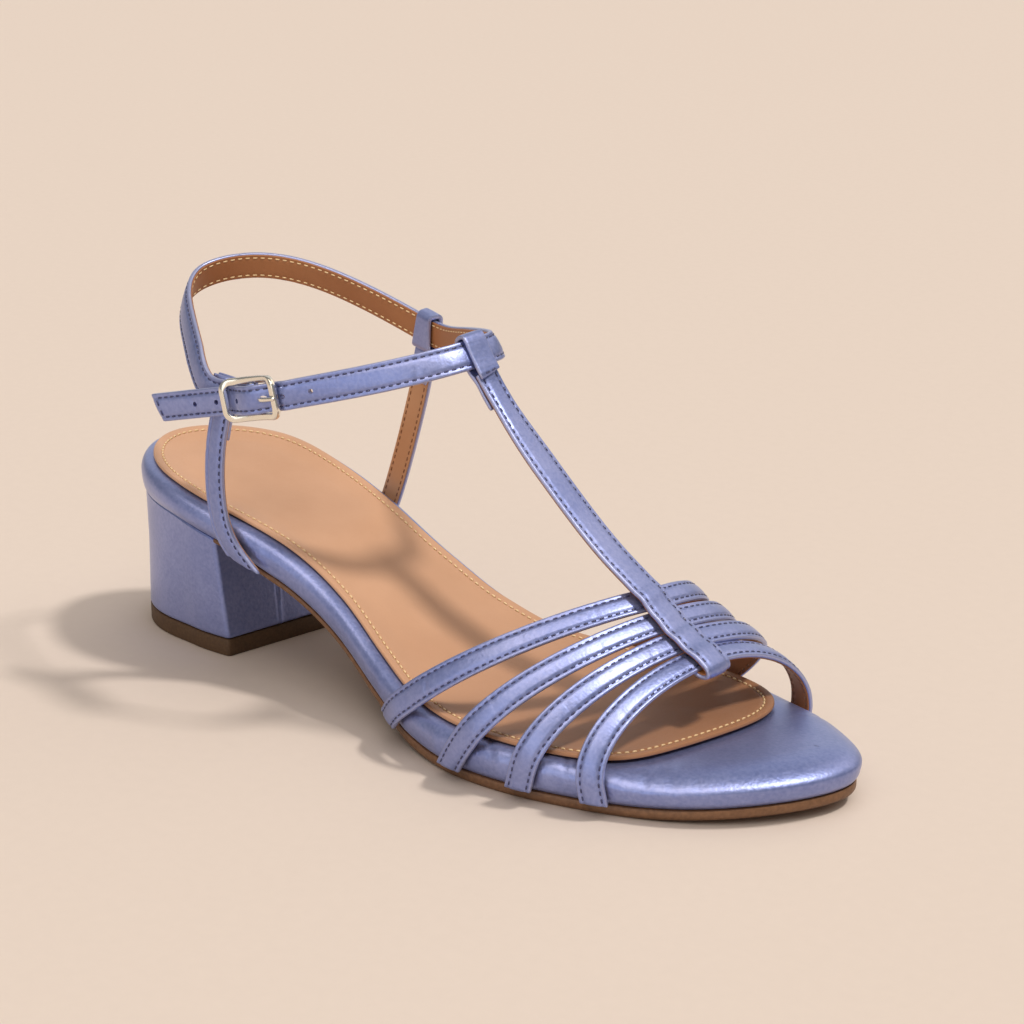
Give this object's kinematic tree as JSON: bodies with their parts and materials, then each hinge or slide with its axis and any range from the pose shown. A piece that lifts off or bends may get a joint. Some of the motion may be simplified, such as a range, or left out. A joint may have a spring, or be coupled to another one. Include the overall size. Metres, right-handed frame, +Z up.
{
  "type": "low heel sandal",
  "caption": "Open-toe T-strap sandal for the right foot on a low block heel, with narrow vamp straps, an ankle strap and a prong buckle at the outer side.",
  "frame": {"origin": "middle of the shoe's overall box, on the floor it stands on", "axes": "+X from the heel to the toe, +Y to the inner side of the foot, +Z up"},
  "size_m": [0.2566, 0.092, 0.117],
  "materials": {
    "metallic_leather": "metallic satin, fine grain",
    "tan_leather": "smooth, satin",
    "sole_resin": "satin",
    "top_piece_rubber": "matt",
    "nickel": "polished nickel"
  },
  "bodies": {
    "root": {"footbed": "metallic_leather", "insole_sock": "tan_leather", "outsole": "sole_resin", "heel_block": "metallic_leather", "heel_top_piece": "top_piece_rubber", "upper": "metallic_leather", "ankle_strap": "metallic_leather", "quarter_strap_outer": "metallic_leather", "quarter_strap_inner": "metallic_leather", "buckle_frame": "nickel", "buckle_prong": "nickel"}
  },
  "joints": []
}
